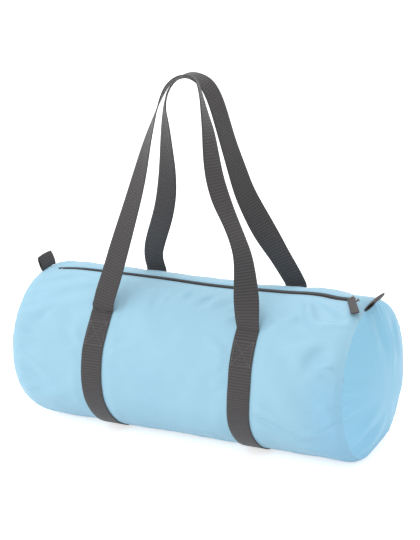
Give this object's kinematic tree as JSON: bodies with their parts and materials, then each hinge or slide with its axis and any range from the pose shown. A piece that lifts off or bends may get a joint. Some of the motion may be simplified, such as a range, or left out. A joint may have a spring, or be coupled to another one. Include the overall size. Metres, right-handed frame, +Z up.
{
  "type": "barrel sports bag",
  "caption": "Soft barrel-shaped sports bag with domed round ends, a zip along the top, webbing straps round the barrel and long webbing handles held up.",
  "frame": {"origin": "on the floor, under the middle of the barrel", "axes": "+X along the barrel towards the closed end of the zip, -Y towards the pictured front, +Z up"},
  "size_m": [0.644, 0.2606, 0.5905],
  "materials": {
    "shell_fabric": "plain woven light blue cloth with a faint sheen",
    "webbing": "ribbed dark grey webbing, matt",
    "zip_tape": "dark grey woven tape, matt",
    "zip_nylon": "dark grey nylon",
    "slider_metal": "gunmetal",
    "puller_moulding": "moulded dark grey"
  },
  "bodies": {
    "bag": {"barrel_panel": "shell_fabric", "end_panel_left": "shell_fabric", "end_panel_right": "shell_fabric", "seam_binding_left": "zip_tape", "seam_binding_right": "zip_tape", "zip_tape_front": "zip_tape", "zip_tape_rear": "zip_tape", "zip_teeth_front": "zip_nylon", "zip_teeth_rear": "zip_nylon", "zip_stop_left": "slider_metal", "zip_stop_right_front": "slider_metal", "zip_stop_right_rear": "slider_metal", "belly_strap_left": "webbing", "belly_strap_right": "webbing", "tab_left": "webbing", "tab_right": "webbing"},
    "slider": {"zip_slider": "slider_metal"},
    "ring": {"pull_ring": "slider_metal"},
    "puller": {"zip_puller": "puller_moulding"},
    "handle_front": {"handle_front": "webbing"},
    "handle_rear": {"handle_rear": "webbing"}
  },
  "joints": [
    {"name": "zip_slide", "type": "slide", "parent": "bag", "child": "slider", "axis": [1, 0, 0], "range_m": [-0.5128, 0]},
    {"name": "ring_swing", "type": "hinge", "parent": "slider", "child": "ring", "pos_m": [0.2648, -0.00116, 0.25484], "axis": [-1, 0, 0], "range_deg": [0, 140]},
    {"name": "puller_turn", "type": "hinge", "parent": "ring", "child": "puller", "pos_m": [0.2648, -0.00776, 0.25479], "axis": [0, -0.225, 0.9744], "range_deg": [-60, 15]},
    {"name": "handle_front_fold", "type": "hinge", "parent": "bag", "child": "handle_front", "pos_m": [0, -0.0903, 0.21624], "axis": [1, 0, 0], "range_deg": [0, 120]},
    {"name": "handle_rear_fold", "type": "hinge", "parent": "bag", "child": "handle_rear", "pos_m": [0, 0.0903, 0.21624], "axis": [-1, 0, 0], "range_deg": [0, 120]}
  ]
}
